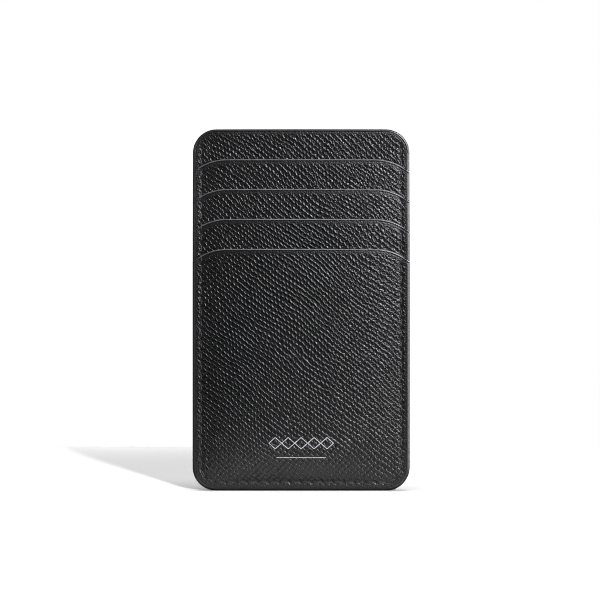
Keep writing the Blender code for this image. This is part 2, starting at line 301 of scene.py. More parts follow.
def grain(x, z):
    """The cross-grained leather: its height from 0 to about 1, two phases and its bridges.

    Bridges run from ridge to ridge, some slanted and some upright. They stop the ridges where they meet, so
    the recesses are small closed cells, and they shift each ridge a little from cell to cell. The phases
    are those of the ridges and of the slanted bridges.
    """
    slanted = ridge_phase(x, z, *SLANTED)
    upright = ridge_phase(x, z, *UPRIGHT)
    choice = smooth(varied(x, z, *BRIDGE_CHOICE))
    wave = choice * np.cos(slanted) + (1 - choice) * np.cos(upright)
    shift = choice * np.sin(slanted) + (1 - choice) * np.sin(upright)
    phase = ridge_phase(x, z, *RIDGES) + RIDGE_SHIFT * shift
    ridges = (0.5 + 0.5 * np.cos(phase)) ** 3 * varied(x, z, *RIDGE_HEIGHT)
    bridges = (0.5 + 0.5 * wave) ** 2 * varied(x, z, *BRIDGE_HEIGHT)
    height = np.sqrt(np.hypot(ridges**2, bridges**2)) + varied(x, z, *PEBBLES)
    return height, phase, slanted, bridges


# ---------------------------------------------------------------- the seam's line


def seam_place(s):
    """The seam's point at length s from its left top end."""
    radius = CORNER - SEAM
    side = SEAM_TOP - CORNER
    half = HALF - SEAM
    base = 2 * (HALF - CORNER)
    quarter = radius * math.pi / 2
    if s < side:
        return -half, SEAM_TOP - s
    s -= side
    if s < quarter:
        return corner_place(-1, radius, math.pi + s / radius)
    s -= quarter
    if s < base:
        return -base / 2 + s, SEAM
    s -= base
    if s < quarter:
        return corner_place(1, radius, 1.5 * math.pi + s / radius)
    return half, CORNER + s - quarter


def corner_place(side, radius, turn):
    """The seam's point at a turn round a bottom corner. side is -1 at the left."""
    return side * (HALF - CORNER) + radius * math.cos(turn), CORNER + radius * math.sin(turn)


def seam_length():
    return 2 * (SEAM_TOP - CORNER) + 2 * (HALF - CORNER) + math.pi * (CORNER - SEAM)


def hole_lengths():
    """Lengths along the seam of its needle holes."""
    count = round(seam_length() / STITCH)
    return [seam_length() * i / count for i in range(count + 1)]


def seam_relief(x, z):
    """Depth of the channel that the stitches pull into the leather, and 1 at a needle hole, 0 elsewhere."""
    inside = rim_distance(x, z)
    depth = CHANNEL_DEPTH * np.exp(-(((inside - SEAM) / CHANNEL_WIDTH) ** 2))
    depth *= smooth((SEAM_TOP + CHANNEL_END - z) / CHANNEL_END)
    pierced = np.zeros(x.shape)
    for s in hole_lengths():
        hole_x, hole_z = seam_place(s)
        near = np.flatnonzero((np.abs(x - hole_x) < HOLE_REACH) & (np.abs(z - hole_z) < HOLE_REACH))
        dx, dz = x[near] - hole_x, z[near] - hole_z
        along = (dx - HOLE_SLANT * dz) / HOLE_SLANT_LENGTH
        across = (HOLE_SLANT * dx + dz) / HOLE_SLANT_LENGTH
        pierced[near] += np.exp(-((along / HOLE_LONG) ** 2) - (across / HOLE_WIDE) ** 2)
    return depth + HOLE_DEPTH * pierced, pierced


# ---------------------------------------------------------------- the ornament's line


def ornament_strokes():
    """The foil's lines as point lists: two crossing zigzags that make a chain of diamonds, and a rule."""
    strokes = []
    for side in (1, -1):
        points = []
        for i in range(2 * DIAMONDS + 1):
            x = (i - DIAMONDS) * DIAMOND_HALF_WIDE
            peak = side * DIAMOND_HALF_HIGH * math.sin(math.pi * i / 2)
            points.append((x, ORNAMENT_Z + peak))
        strokes.append(points)
    strokes.append([(-RULE_HALF, RULE_Z), (RULE_HALF, RULE_Z)])
    return strokes


def stroke_distance(x, z):
    """Distance to the nearest foil line."""
    nearest = np.full(x.shape, 1.0)
    for points in ornament_strokes():
        for (ax, az), (bx, bz) in zip(points, points[1:]):
            length2 = (bx - ax) ** 2 + (bz - az) ** 2
            t = np.clip(((x - ax) * (bx - ax) + (z - az) * (bz - az)) / length2, 0, 1)
            nearest = np.minimum(nearest, np.hypot(x - ax - t * (bx - ax), z - az - t * (bz - az)))
    return nearest


# ---------------------------------------------------------------- leather relief


def edge_relief(edge):
    """Depth of a wall's rounded edge and of the crease beside it, at a distance from the cut edge."""
    round_off = np.clip(EDGE_ROUND - edge, 0, EDGE_ROUND)
    depth = EDGE_ROUND - np.sqrt(EDGE_ROUND**2 - round_off**2)
    return depth + CREASE_DEPTH * np.exp(-(((edge - CREASE_AT) / CREASE_WIDTH) ** 2))


def grain_share(x, z, edge):
    """How much of the grain shows: none in the smooth border, and less at the foot and along the seam."""
    foot = FOOT_LEAST + (1 - FOOT_LEAST) * smooth((z - FADE_LOW) / FADE_RISE)
    seam = np.exp(-(((rim_distance(x, z) - SEAM) / SEAM_FLAT_WIDTH) ** 2))
    return smooth((edge - BORDER) / BORDER_FADE) * foot * (1 - SEAM_FLATTENS * seam)


def crossed_share(x, z):
    """How strongly the slanted bridges stand out as a second set of ridges: most at the foot's left."""
    low = 1 - smooth((z - CROSSED_LOW) / CROSSED_RISE)
    right = smooth((x - CROSSED_RIGHT_FROM) / CROSSED_RIGHT_RUN)
    return CROSSED_LEAST + (1 - CROSSED_LEAST) * low * (1 - CROSSED_LOSS_RIGHT * right)


def wall_relief(x, z, edge, stamped=False):
    """Depth below a leather wall's flat face, and values for its finish, at a distance from its cut edge."""
    depth = edge_relief(edge)
    pattern = grain_share(x, z, edge)
    if stamped:
        pressed = 1 - smooth((stroke_distance(x, z) - STAMP_REACH) / STAMP_FADE)
        pattern *= 1 - STAMP_FLATTENS * pressed
        depth += STAMP_DEPTH * pressed
    height, phase, slanted, bridges = grain(x, z)
    shown = MEAN_HEIGHT + pattern * (height - MEAN_HEIGHT)
    channel, pierced = seam_relief(x, z)
    depth += GRAIN_DEPTH * (1 - shown) + channel
    crossed = pattern * crossed_share(x, z)
    values = {"grain": shown, "ridge": phase, "bridges": bridges, "grained": pattern, "pierced": pierced}
    return depth, values | {"slanted": slanted, "crossed": crossed}


def front_relief(x, z):
    """Relief of the front panel, with its stamp."""
    edge = np.minimum(rim_distance(x, z), mouth_distance(x, z, MOUTH_Z[0])) - PAINT
    return wall_relief(x, z, edge, stamped=True)


def slot_relief(slot):
    """Relief of a slot's facing."""
    mouth_z = MOUTH_Z[4 - slot]

    def relief(x, z):
        edge = np.minimum(rim_distance(x, z), mouth_distance(x, z, mouth_z)) - PAINT
        return wall_relief(x, z, edge)

    return relief


def full_relief(x, z):
    """Relief of a full-height wall."""
    return wall_relief(x, z, rim_distance(x, z, with_top=True) - PAINT)


# ---------------------------------------------------------------- meshes


def make_object(name, points, faces, finish, replaced, record_slot, values=None, sharp=40.0):
    """A mesh piece on the body, standing for a CAD node."""
    mesh = bpy.data.meshes.new(name)
    mesh.from_pydata(np.asarray(points).tolist(), [], faces)
    mesh.validate()
    mesh.shade_smooth()
    mesh.set_sharp_from_angle(angle=math.radians(sharp))
    for key, numbers in (values or {}).items():
        attribute = mesh.attributes.new(key, "FLOAT", "POINT")
        attribute.data.foreach_set("value", np.asarray(numbers, np.float32))
    mesh.materials.append(finish)
    made = bpy.data.objects.new(name, mesh)
    bpy.context.scene.collection.objects.link(made)
    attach(made, "root")
    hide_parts(replaced)
    return made


def round_low(x, inset):
    """The body's bottom edge with its round corners, moved inwards."""
    run = np.clip(np.abs(x) - (HALF - CORNER), 0, None)
    radius = CORNER - PAINT - inset
    return CORNER - np.sqrt(np.clip(radius**2 - run**2, 0, None))


def round_high(x, inset):
    """The full-height walls' top edge, the same shape upside down."""
    return HEIGHT - round_low(x, inset)


def mouth_high(mouth_z):
    """A wall's top edge that follows its mouth."""

    def high(x, inset):
        run = np.clip(np.abs(x) - MOUTH_STRAIGHT, 0, None)
        radius = MOUTH_RADIUS - PAINT - inset
        return mouth_z - MOUTH_RADIUS + np.sqrt(np.clip(radius**2 - run**2, 0, None))

    return high


def flat_low(bottom_z):
    """A straight bottom edge."""

    def low(x, inset):
        return np.full(np.shape(x), bottom_z + inset)

    return low


def stem_low(wing_z, stem_z, stem_half):
    """The bottom of a T: a stem that hangs below two wings."""

    def low(x, inset):
        wing = smooth((np.abs(x) - stem_half) / STEM_STEP + 0.5)
        return stem_z + inset + wing * (wing_z - stem_z)

    return low


def columns(inset, step):
    """X places across a sheet at an inset: even between the corners, and even in angle round them."""
    straight = HALF - CORNER
    count = COARSENING * max(1, round(2 * straight / step / COARSENING))
    middle = np.linspace(-straight, straight, count + 1)
    turns = np.linspace(0, math.pi / 2, CORNER_COLUMNS + 1)[1:]
    corner = straight + (CORNER - PAINT - inset) * np.sin(turns)
    return np.concatenate([-corner[::-1], middle, corner])


def rows(low_z, high_z, step, fine_from):
    """Shares of a sheet's height for its rows: even above fine_from, and far apart below it."""
    start = max(low_z, fine_from)
    fine = COARSENING * math.ceil((high_z - start) / step / COARSENING)
    shares = np.linspace((start - low_z) / (high_z - low_z), 1, fine + 1)
    if start > low_z:
        coarse = COARSENING * math.ceil((start - low_z) / (COARSENING * COARSE_STEP))
        shares = np.concatenate([np.linspace(0, shares[0], coarse + 1)[:-1], shares])
    return shares


def loop_at(inset, low, high, step, shares):
    """Points round a sheet at an inset, counter-clockwise as seen from the front, from its left bottom."""
    x = columns(inset, step)
    bottom, top = low(x, inset), high(x, inset)
    right = bottom[-1] + shares * (top[-1] - bottom[-1])
    left = bottom[0] + shares * (top[0] - bottom[0])
    side = np.full(len(shares), x[-1])
    loop_x = np.concatenate([x[:-1], side[:-1], x[:0:-1], -side[:0:-1]])
    loop_z = np.concatenate([bottom[:-1], right[:-1], top[:0:-1], left[:0:-1]])
    return loop_x, loop_z


def border(grid):
    """Indices round a grid's edge, counter-clockwise from its left bottom."""
    return np.concatenate([grid[:-1, 0], grid[-1, :-1], grid[:0:-1, -1], grid[0, :0:-1]])


def sheet_points(low, high, step, insets, fine_from):
    """Flat points of a sheet, its grid of indices, and its rings of indices from that grid outwards."""
    inner = insets[0]
    x = columns(inner, step)
    bottom, top = low(x, inner), high(x, inner)
    shares = rows(bottom.min(), top.max(), step, fine_from)
    grid_x = np.repeat(x, len(shares))
    grid_z = (bottom[:, None] + shares[None, :] * (top - bottom)[:, None]).ravel()
    grid = np.arange(len(grid_x)).reshape(len(x), len(shares))
    rings = [border(grid)]
    all_x, all_z = [grid_x], [grid_z]
    count = len(grid_x)
    for inset in insets[1:]:
        loop_x, loop_z = loop_at(inset, low, high, step, shares)
        all_x.append(loop_x)
        all_z.append(loop_z)
        rings.append(np.arange(count, count + len(loop_x)))
        count += len(loop_x)
    return np.concatenate(all_x), np.concatenate(all_z), grid, rings


def grid_faces(grid):
    """Faces of a grid of indices."""
    corners = [grid[:-1, :-1], grid[1:, :-1], grid[1:, 1:], grid[:-1, 1:]]
    return np.column_stack([corner.ravel() for corner in corners]).tolist()


def ring_faces(inner, outer):
    """Faces between two closed loops of as many points."""
    return np.column_stack([inner, outer, np.roll(outer, -1), np.roll(inner, -1)]).tolist()


def fan_faces(outer, inner):
    """Faces between a fine outer loop and a coarser inner one, for a sheet's plain side."""
    share = len(outer) // len(inner)
    faces = []
    for m, corner in enumerate(inner):
        ends = [outer[(m * share + k) % len(outer)] for k in range(share + 1)]
        for here, following in zip(ends, ends[1:]):
            faces.append((corner, following, here))
        faces.append((corner, inner[(m + 1) % len(inner)], ends[-1]))
    return faces


def sheet_faces(grid, rings, rim_index, plain_index):
    """Faces of a closed sheet: its fine side, its cut edge and its plain side."""
    faces = grid_faces(grid)
    for inner, outer in zip(rings, rings[1:]):
        faces += ring_faces(inner, outer)
    faces += ring_faces(rings[-1], rim_index)
    faces += fan_faces(rim_index.tolist(), border(plain_index).tolist())
    faces += [face[::-1] for face in grid_faces(plain_index)]
    return faces


def sheet(name, low, high, finish, record_slot, step=COARSE_STEP, relief=None, outwards=-1, fine_from=-1.0):
    """A closed sheet. Its outer side, at the front or at the back, takes the relief; the other is plain."""
    fine = relief is not None
    x, z, grid, rings = sheet_points(low, high, step, FINE_RINGS if fine else PLAIN_RINGS, fine_from)
    depth, values = relief(x, z) if fine else (np.zeros(len(x)), None)
    if fine:
        depth *= smooth((z - fine_from) / STRIP_FADE)
    outer_y, plain_y = (FRONT[name], BACK[name]) if outwards < 0 else (BACK[name], FRONT[name])
    outer = np.column_stack([x, outer_y - outwards * depth, z])

    share = COARSENING if fine else 1
    plain_grid = grid[::share, ::share]
    plain_index = np.arange(plain_grid.size).reshape(plain_grid.shape) + len(x)
    rim_index = np.arange(len(rings[-1])) + len(x) + plain_grid.size
    picked = np.concatenate([plain_grid.ravel(), rings[-1]])
    plain = np.column_stack([x[picked], np.full(len(picked), plain_y), z[picked]])

    faces = sheet_faces(grid, rings, rim_index, plain_index)
    if outwards > 0:
        faces = [face[::-1] for face in faces]
    if fine:
        filler = dict.fromkeys(values, 0.0) | {"grain": MEAN_HEIGHT}
        values = {key: np.concatenate([values[key], np.full(len(picked), filler[key])]) for key in filler}
    points = bend(np.concatenate([outer, plain]), front=name)
    return make_object(f"{name}_piece", points, faces, finish, name, record_slot, values)


def tubes(bodies):
    """Points and faces of bodies with flat ends, each given as its own list of closed sections."""
    points, faces = [], []
    for sections in bodies:
        sections = np.asarray(sections)
        count, around = sections.shape[:2]
        index = np.arange(count * around).reshape(count, around) + len(points)
        turned = np.roll(index, -1, axis=1)
        sides = np.stack([index[:-1], turned[:-1], turned[1:], index[1:]], axis=-1)
        faces += sides.reshape(-1, 4).tolist()
        faces += [index[0, ::-1].tolist(), index[-1].tolist()]
        points += sections.reshape(-1, 3).tolist()
    return points, faces


# ---------------------------------------------------------------- painted edges


def paint_section(front_y, back_y, lap, dome):
    """A paint bead's section as (outward, y): it laps over both faces and falls away outwards."""
    front, back = front_y - PAINT_PROUD, back_y + PAINT_PROUD
    dome = min(dome, 0.45 * (back - front))
    shares = np.linspace(0, 1, PAINT_STEPS + 1)
    swell = -lap + (PAINT + lap) * shares
    fall = dome * shares**2
    outward = np.concatenate([swell, swell[::-1]])
    y = np.concatenate([front + fall, back - fall[::-1]])
    return outward, y


def thinned(x):
    """How much of a mouth's paint is left at x: less at the mouth's ends, where the seam presses it."""
    full = float(smooth((HALF - MOUTH_END_INSET - abs(x)) / MOUTH_END_RUN))
    return MOUTH_END_LEAST + (1 - MOUTH_END_LEAST) * full


def paint_bead(name, path, front_y, back_y, finish, lap, dome, front, thin_ends=False):
    """Edge paint along a path of (x, z, outward x, outward z) on the leather's cut edge."""
    sections = []
    for (x, z, out_x, out_z), near, far in zip(path, front_y, back_y):
        outward, y = paint_section(near, far, lap, dome)
        if thin_ends:
            outward *= thinned(x)
        section = np.column_stack([x + out_x * outward, y, z + out_z * outward])
        sections.append(bend(section, front=front)[::-1])
    points, faces = tubes([sections])
    make_object(f"{name}_piece", points, faces, finish, name, "edge_paint", sharp=60.0)


def arc_path(centre_x, centre_z, radius, start, end, steps):
    """Path points round a circle, facing away from its centre, in degrees from +X towards +Z."""
    path = []
    for turn in np.radians(np.linspace(start, end, steps + 1)):
        out = (math.cos(turn), math.sin(turn))
        path.append((centre_x + radius * out[0], centre_z + radius * out[1], *out))
    return path


def straight_path(start, end, z, out_z):
    """Path points along a level stretch, without its ends."""
    return [(x, z, 0.0, out_z) for x in np.linspace(start, end, PATH_STEPS + 1)[1:-1]]


def over_path(right, half, z):
    """A path from right to left: its right end's points, a level stretch and the same end mirrored."""
    left = [(-x, end_z, -out_x, out_z) for x, end_z, out_x, out_z in reversed(right)]
    return right + straight_path(half, -half, z, 1.0) + left


def mouth_path(mouth_z):
    """The mouth's cut edge from right to left."""
    radius = MOUTH_RADIUS - PAINT
    end = math.degrees(math.acos((HALF - PAINT - MOUTH_STRAIGHT) / radius))
    right = arc_path(MOUTH_STRAIGHT, mouth_z - MOUTH_RADIUS, radius, end, 90, MOUTH_PATH_STEPS)
    return over_path(right, MOUTH_STRAIGHT, mouth_z - PAINT)


def top_path():
    """The full-height walls' cut edge from the right side over the top to the left side."""
    centre = HALF - CORNER
    right = arc_path(centre, HEIGHT - CORNER, CORNER - PAINT, 0, 90, CORNER_PATH_STEPS)
    return over_path(right, centre, HEIGHT - PAINT)


def side_heights():
    """Heights along a side: even, and closer where a wall ends."""
    heights = set(np.arange(CORNER, HEIGHT - CORNER, SIDE_STEP).tolist() + [HEIGHT - CORNER])
    for mouth_z in MOUTH_Z:
        heights |= set((wall_end(mouth_z) + np.linspace(-WALL_END_REACH, WALL_END_REACH, 9)).tolist())
    return sorted(heights)


def wall_end(mouth_z):
    """Height at which a mouth meets the side."""
    return mouth_z - MOUTH_RADIUS + math.sqrt(MOUTH_RADIUS**2 - (HALF - MOUTH_STRAIGHT) ** 2)


def rim_front(z):
    """The stack's front at the rim: it steps back at each mouth."""
    y = FRONT[WALLS[0]]
    for mouth_z, ahead, behind in zip(MOUTH_Z, WALLS, WALLS[1:]):
        y += (FRONT[behind] - FRONT[ahead]) * float(smooth((z - wall_end(mouth_z)) / SIDE_STEP + 0.5))
    return y


def add_rim(finish):
    """The painted edge from the left side's top round the bottom to the right side's top."""
    side = HALF - PAINT
    left = [(-side, z, -1.0, 0.0) for z in reversed(side_heights())]
    right = [(side, z, 1.0, 0.0) for z in side_heights()]
    centre, radius = HALF - CORNER, CORNER - PAINT
    bottom = arc_path(-centre, CORNER, radius, 180, 270, CORNER_PATH_STEPS)[1:]
    bottom += straight_path(-centre, centre, PAINT, -1.0)
    bottom += arc_path(centre, CORNER, radius, 270, 360, CORNER_PATH_STEPS)[:-1]
    path = left + bottom + right
    front_y = [rim_front(z) for _, z, _, _ in path]
    back_y = [BACK["back_panel"]] * len(path)
    paint_bead("rim_paint", path, front_y, back_y, finish, RIM_LAP, RIM_DOME, "front_panel")


def add_mouth_paint(finish):
    """The light lines: the painted edge of each wall with its lining, in a grey paint lighter than the
    rim's, which is a painted highlight.
    """
    for paint, wall, mouth_z in zip(PAINTS, WALLS, MOUTH_Z):
        lining = LAYERS[LAYERS.index(wall) - 1]
        path = mouth_path(mouth_z)
        front_y, back_y = [FRONT[wall]] * len(path), [BACK[lining]] * len(path)
        paint_bead(paint, path, front_y, back_y, finish, MOUTH_LAP, MOUTH_DOME, wall, thin_ends=True)


def add_top_paint(finish):
    """The painted top edges of the divider and of the back wall."""
    path = top_path()
    for paint, near, far in (
        ("divider_top_paint", "divider_panel", "divider_lining"),
        ("back_top_paint", "back_lining", "back_panel"),
    ):
        front_y, back_y = [FRONT[near]] * len(path), [BACK[far]] * len(path)
        paint_bead(paint, path, front_y, back_y, finish, TOP_LAP, TOP_DOME, near)


# ---------------------------------------------------------------- threads and foil


def wall_at(x, z):
    """The foremost wall at a place."""
    for wall, mouth_z in zip(WALLS, MOUTH_Z):
        if mouth_distance(np.array(x), np.array(z), mouth_z) > 0 and z < mouth_z:
            return wall
    return "divider_panel"


def stitch_sections(start, end, surface, outwards, front):
    """Sections of one twisted stitch from hole to hole, bedded in its channel."""
    ax, az = start[0] - STITCH_SLANT, start[1] + STITCH_SLANT
    bx, bz = end[0] + STITCH_SLANT, end[1] - STITCH_SLANT
    along = np.array([bx - ax, bz - az])
    along /= np.linalg.norm(along)
    sections = []
    for i in range(STITCH_STEPS + 1):
        t = i / STITCH_STEPS
        dive = 1 - math.sin(math.pi * t) ** STITCH_ARCH
        depth = CHANNEL_DEPTH + STITCH_BED + (HOLE_DEPTH + STITCH_DIVE) * dive
        centre = np.array([ax + t * (bx - ax), surface - outwards * depth, az + t * (bz - az)])
        section = []
        for k in range(THREAD_SIDES):
            turn = 2 * math.pi * k / THREAD_SIDES
            radius = THREAD_RADIUS * (1 + THREAD_LOBES * math.cos(3 * (turn + THREAD_TWIST * t)))
            across = radius * math.cos(turn)
            out = radius * THREAD_FLAT * math.sin(turn)
            section.append(centre + [-along[1] * across, out * outwards, along[0] * across])
        sections.append(bend(np.array(section), front=front))
    return sections


def add_stitches(name, replaced, outwards, finish):
    """A row of stitches round the seam, on the front or on the back."""
    stitches = []
    lengths = hole_lengths()
    gap = STITCH_GAP * STITCH
    for s, following in zip(lengths, lengths[1:]):
        start, end = seam_place(s + gap), seam_place(following - gap)
        wall = wall_at((start[0] + end[0]) / 2, (start[1] + end[1]) / 2) if outwards < 0 else "back_panel"
        surface = FRONT[wall] if outwards < 0 else BACK[wall]
        stitches.append(stitch_sections(start, end, surface, outwards, wall))
    points, faces = tubes(stitches)
    make_object(name, points, faces, finish, replaced, "thread", sharp=70.0)


def pocket_seam_sections(low, high):
    """Sections of a running stitch that swings between the two sides of a box."""
    radius = (high.z - low.z) / 2
    near, far, z = low.y + radius, high.y - radius, (low.z + high.z) / 2
    stitches = round((high.x - low.x) / STITCH)
    pitch = (high.x - low.x - 2 * radius) / stitches
    turns = np.linspace(0, 2 * math.pi, POCKET_THREAD_SIDES + 1)[:-1]
    ring = radius * np.column_stack([POCKET_THREAD_FLAT * np.sin(turns), np.cos(turns), np.sin(turns)])
    sections = []
    for i in range(POCKET_STITCH_STEPS * stitches + 1):
        phase = i / POCKET_STITCH_STEPS
        wave = math.tanh(POCKET_STITCH_TURN * math.cos(2 * math.pi * phase))
        swing = 0.5 - 0.5 * wave / math.tanh(POCKET_STITCH_TURN)
        centre = np.array([low.x + radius + phase * pitch, near + swing * (far - near), z])
        sections.append(bend(centre + ring))
    return sections


def add_pocket_seams(finish):
    """The running stitch at each pocket's foot, between the divider and the slot lining."""
    for slot in (1, 2, 3):
        node = f"slot_{slot}_seam_thread"
        points, faces = tubes([pocket_seam_sections(*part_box(node))])
        make_object(f"{node}_piece", points, faces, finish, node, "thread", sharp=60.0)


def foil_ribbon(start, end, half_width):
    """Sections of a thin straight foil line pressed on the front panel."""
    (ax, az), (bx, bz) = start, end
    length = math.hypot(bx - ax, bz - az)
    across = (-(bz - az) / length, (bx - ax) / length)
    count = max(2, round(length / FOIL_STEP))
    sections = []
    for i in range(count + 1):
        t = i / count
        x = ax + t * (bx - ax) + across[0] * half_width * FOIL_ACROSS
        z = az + t * (bz - az) + across[1] * half_width * FOIL_ACROSS
        depth = front_relief(x, z)[0] + FOIL_DEPTH
        sections.append(bend(np.column_stack([x, FRONT["front_panel"] + depth, z])))
    return sections


def add_foil(finish):
    """A generic stamped ornament in silver foil: a chain of diamonds over a rule."""
    *zigzags, rule = ornament_strokes()
    ribbons = []
    for stroke in zigzags:
        ribbons += [foil_ribbon(start, end, ORNAMENT_LINE) for start, end in zip(stroke, stroke[1:])]
    points, faces = tubes(ribbons)
    make_object("foil_ornament_piece", points, faces, finish, "foil_ornament", "foil")
    points, faces = tubes([foil_ribbon(*rule, RULE_LINE)])
    make_object("foil_rule_piece", points, faces, finish, "foil_rule", "foil", sharp=60.0)


# ---------------------------------------------------------------- materials


def add_node(tree, kind, **settings):
    """A new node with some of its properties set."""
    node = tree.nodes.new(kind)
    for key, value in settings.items():
        setattr(node, key, value)
    return node


def new_material(name, colour, roughness, metallic=0.0):
    """A material with its node tree and its shader."""
    made = bpy.data.materials.new(name)
    made.use_nodes = True
    shader = made.node_tree.nodes["Principled BSDF"]
    shader.inputs["Base Color"].default_value = (*colour, 1.0)
    shader.inputs["Roughness"].default_value = roughness
    shader.inputs["Metallic"].default_value = metallic
    return made, made.node_tree, shader


def noise_field(tree, per_mm, detail=2.0, stretch=(1.0, 1.0, 1.0)):
    """A noise texture over object space, with its scale given per millimetre."""
    coordinates = add_node(tree, "ShaderNodeTexCoord")
    mapping = add_node(tree, "ShaderNodeMapping")
    mapping.inputs["Scale"].default_value = [per_mm * s / MM for s in stretch]
    texture = add_node(tree, "ShaderNodeTexNoise")
    texture.inputs["Scale"].default_value = 1.0
    texture.inputs["Detail"].default_value = detail
    tree.links.new(coordinates.outputs["Object"], mapping.inputs["Vector"])
    tree.links.new(mapping.outputs["Vector"], texture.inputs["Vector"])
    return texture.outputs["Fac"]


def ramp(tree, source, low, high, to_low, to_high):
    """source mapped from low..high to to_low..to_high."""
    node = add_node(tree, "ShaderNodeMapRange")
    for key, value in (("From Min", low), ("From Max", high), ("To Min", to_low), ("To Max", to_high)):
        node.inputs[key].default_value = value
    tree.links.new(source, node.inputs["Value"])
    return node.outputs["Result"]


def maths(tree, operation, a, b):
    """The result of a Math node on two sockets or numbers."""
    node = add_node(tree, "ShaderNodeMath", operation=operation)
    for socket, value in zip(node.inputs, (a, b)):
        if isinstance(value, float):
            socket.default_value = value
        else:
            tree.links.new(value, socket)
    return node.outputs["Value"]


def tint(tree, shader, factor, dark, light):
    """Base colour between two tones."""
    mix = add_node(tree, "ShaderNodeMix", data_type="RGBA")
    colours = [socket for socket in mix.inputs if socket.type == "RGBA"]
    colours[0].default_value = (*dark, 1.0)
    colours[1].default_value = (*light, 1.0)
    tree.links.new(factor, mix.inputs["Factor"])
    result = next(socket for socket in mix.outputs if socket.type == "RGBA")
    tree.links.new(result, shader.inputs["Base Color"])


def add_bump(tree, shader, height, distance):
    """Bumps of a height field, with the distance that a height of 1 stands for."""
    node = add_node(tree, "ShaderNodeBump")
    node.inputs["Distance"].default_value = distance
    tree.links.new(height, node.inputs["Height"])
    tree.links.new(node.outputs["Normal"], shader.inputs["Normal"])


def crests(tree, phase, sharpness):
    """1 along the crests of a set of ridges, falling to 0 between them."""
    wave = maths(tree, "COSINE", phase, 0.0)
    return maths(tree, "POWER", ramp(tree, wave, -1.0, 1.0, 0.0, 1.0), sharpness)


def leather_roughness(tree, values, fine):
    """Rougher on the crests than in the furrows, rougher in the plain border, most in the needle holes."""
    rough = ramp(tree, values["grain"], 0.1, 0.8, 0.37, 0.40)
    rough = maths(tree, "ADD", rough, ramp(tree, fine, 0.3, 0.7, -0.04, 0.04))
    rough = maths(tree, "ADD", rough, ramp(tree, values["grained"], 0.0, 1.0, 0.10, 0.0))
    return maths(tree, "ADD", rough, ramp(tree, values["pierced"], 0.03, 0.3, 0.0, 0.50))


def leather_crests(tree, values, fine):
    """Narrow crests on the ridges and the slanted bridges, over a fine unevenness."""
    crest = maths(tree, "MULTIPLY", crests(tree, values["ridge"], 8.0), values["grained"])
    crest = maths(tree, "MULTIPLY", crest, ramp(tree, values["bridges"], 0.1, 0.6, 0.9, 0.1))
    cross_crest = maths(tree, "MULTIPLY", crests(tree, values["slanted"], 6.0), values["crossed"])
    crest = maths(tree, "MAXIMUM", crest, cross_crest)
    return maths(tree, "ADD", crest, maths(tree, "MULTIPLY", fine, 1.15))


def leather_material():
    """Black coated cross-grain leather, with painted shade: darker in the furrows than on the crests, and
    varied at random in patches.
    """
    made, tree, shader = new_material("black_saffiano", (0.004, 0.004, 0.0044), 0.45)
    values = {}
    for key in ("grain", "ridge", "grained", "bridges", "slanted", "crossed", "pierced"):
        values[key] = add_node(tree, "ShaderNodeAttribute", attribute_name=key).outputs["Fac"]
    patches = noise_field(tree, 0.12, detail=3.0)
    fine = noise_field(tree, 2.4, detail=0.0)
    # painted shade: where the grain is low, in the furrows, the base colour is darker; the patches add
    # random tone
    tone = maths(tree, "MULTIPLY", values["grain"], 0.75)
    tone = maths(tree, "ADD", tone, maths(tree, "MULTIPLY", patches, 0.5))
    tone = ramp(tree, tone, 0.2, 1.0, 0.0, 1.0)
    tint(tree, shader, tone, (0.0010, 0.0010, 0.0012), (0.0058, 0.0058, 0.0063))
    tree.links.new(leather_roughness(tree, values, fine), shader.inputs["Roughness"])
    add_bump(tree, shader, leather_crests(tree, values, fine), 0.105 * MM)
    return made


def paint_material(name, dark, light):
    """Edge paint, slightly rippled."""
    made, tree, shader = new_material(name, light, 0.34)
    ripple = noise_field(tree, 0.9, detail=2.0)
    tint(tree, shader, ramp(tree, ripple, 0.3, 0.7, 0.0, 1.0), dark, light)
    tree.links.new(ramp(tree, noise_field(tree, 2.5), 0.3, 0.7, 0.30, 0.46), shader.inputs["Roughness"])
    add_bump(tree, shader, ripple, 0.03 * MM)
    return made


def thread_material():
    """Black bonded thread."""
    made, tree, shader = new_material("bonded_thread", (0.014, 0.0135, 0.016), 0.6)
    fibres = noise_field(tree, 9.0, detail=3.0)
    tone = ramp(tree, fibres, 0.3, 0.7, 0.0, 1.0)
    tint(tree, shader, tone, (0.014, 0.0136, 0.016), (0.028, 0.0272, 0.032))
    tree.links.new(ramp(tree, fibres, 0.3, 0.7, 0.55, 0.72), shader.inputs["Roughness"])
    add_bump(tree, shader, fibres, 0.03 * MM)
    return made


def lining_material():
    """Thin black woven lining."""
    made, tree, shader = new_material("woven_lining", (0.012, 0.012, 0.014), 0.8)
    warp = noise_field(tree, 1.0, detail=1.0, stretch=(5.0, 1.0, 0.5))
    weft = noise_field(tree, 1.0, detail=1.0, stretch=(0.5, 1.0, 5.0))
    weave = maths(tree, "MAXIMUM", warp, weft)
    tint(tree, shader, ramp(tree, weave, 0.4, 0.8, 0.0, 1.0), (0.007, 0.007, 0.008), (0.022, 0.022, 0.025))
    tree.links.new(ramp(tree, weave, 0.4, 0.8, 0.9, 0.65), shader.inputs["Roughness"])
    add_bump(tree, shader, weave, 0.05 * MM)
    return made


def board_material():
    """Bonded leather board, hidden in the back wall."""
    made, tree, shader = new_material("bonded_board", (0.09, 0.07, 0.05), 0.9)
    fibres = noise_field(tree, 1.5, detail=5.0)
    tint(tree, shader, ramp(tree, fibres, 0.3, 0.7, 0.0, 1.0), (0.06, 0.045, 0.032), (0.12, 0.095, 0.07))
    tree.links.new(ramp(tree, fibres, 0.3, 0.7, 0.82, 0.96), shader.inputs["Roughness"])
    add_bump(tree, shader, fibres, 0.05 * MM)
    return made


